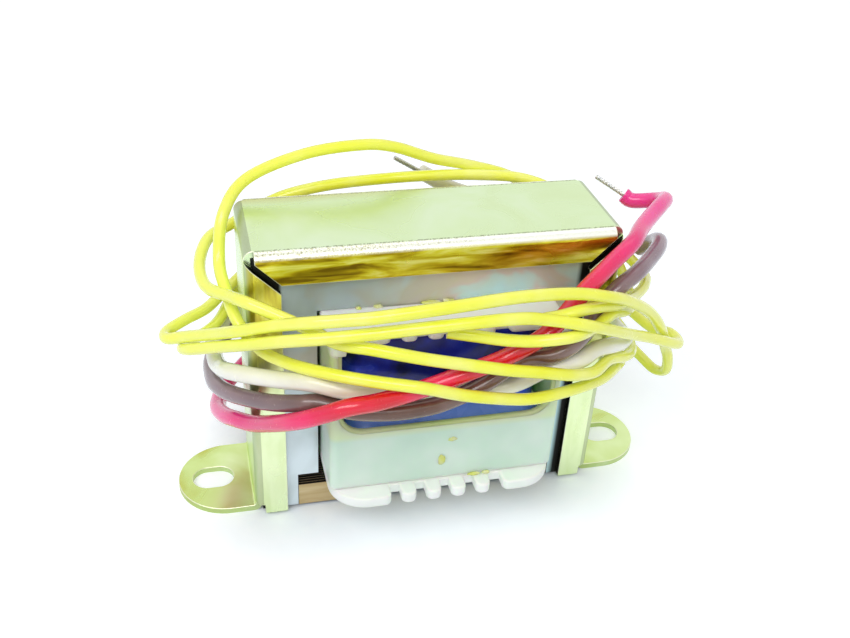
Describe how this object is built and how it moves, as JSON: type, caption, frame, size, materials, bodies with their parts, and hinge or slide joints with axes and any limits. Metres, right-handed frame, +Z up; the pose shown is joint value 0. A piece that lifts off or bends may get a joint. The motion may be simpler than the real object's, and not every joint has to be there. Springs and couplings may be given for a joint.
{
  "type": "transformer",
  "caption": "Laminated-core transformer in a folded channel frame with slotted feet, a split bobbin in covers, and flexible leads wrapped round it.",
  "frame": {"origin": "middle of the feet's underside, below the centre of the core", "axes": "+X along the frame from foot to foot, -Y out of the front, +Z up"},
  "size_m": [0.0754, 0.0457, 0.0483],
  "materials": {
    "frame": "yellow passivated zinc plating, glossy",
    "laminations": "varnished sheet",
    "bar": "tan varnish",
    "nylon": "milky, lets light through",
    "copper": "enamelled copper wire",
    "tape": "glossy film",
    "red_sleeve": "soft satin",
    "brown_sleeve": "soft satin",
    "white_sleeve": "soft satin",
    "yellow_sleeve": "soft satin",
    "tinned": "tinned strands"
  },
  "bodies": {
    "root": {"channel_frame": "frame", "lamination_stack": "laminations", "yoke_bar": "bar", "bobbin": "nylon", "winding_cover_front": "nylon", "winding_cover_rear": "nylon", "primary_winding": "copper", "primary_tape": "tape", "secondary_winding": "copper", "secondary_tape": "tape", "lead_red": "red_sleeve", "lead_brown": "brown_sleeve", "lead_white": "white_sleeve", "lead_yellow_a": "yellow_sleeve", "lead_yellow_b": "yellow_sleeve", "lead_yellow_c": "yellow_sleeve", "lead_yellow_d": "yellow_sleeve", "tip_red": "tinned", "tip_brown": "tinned", "tip_white": "tinned", "tip_yellow_a": "tinned", "tip_yellow_b": "tinned", "tip_yellow_c": "tinned", "tip_yellow_d": "tinned"}
  },
  "joints": []
}
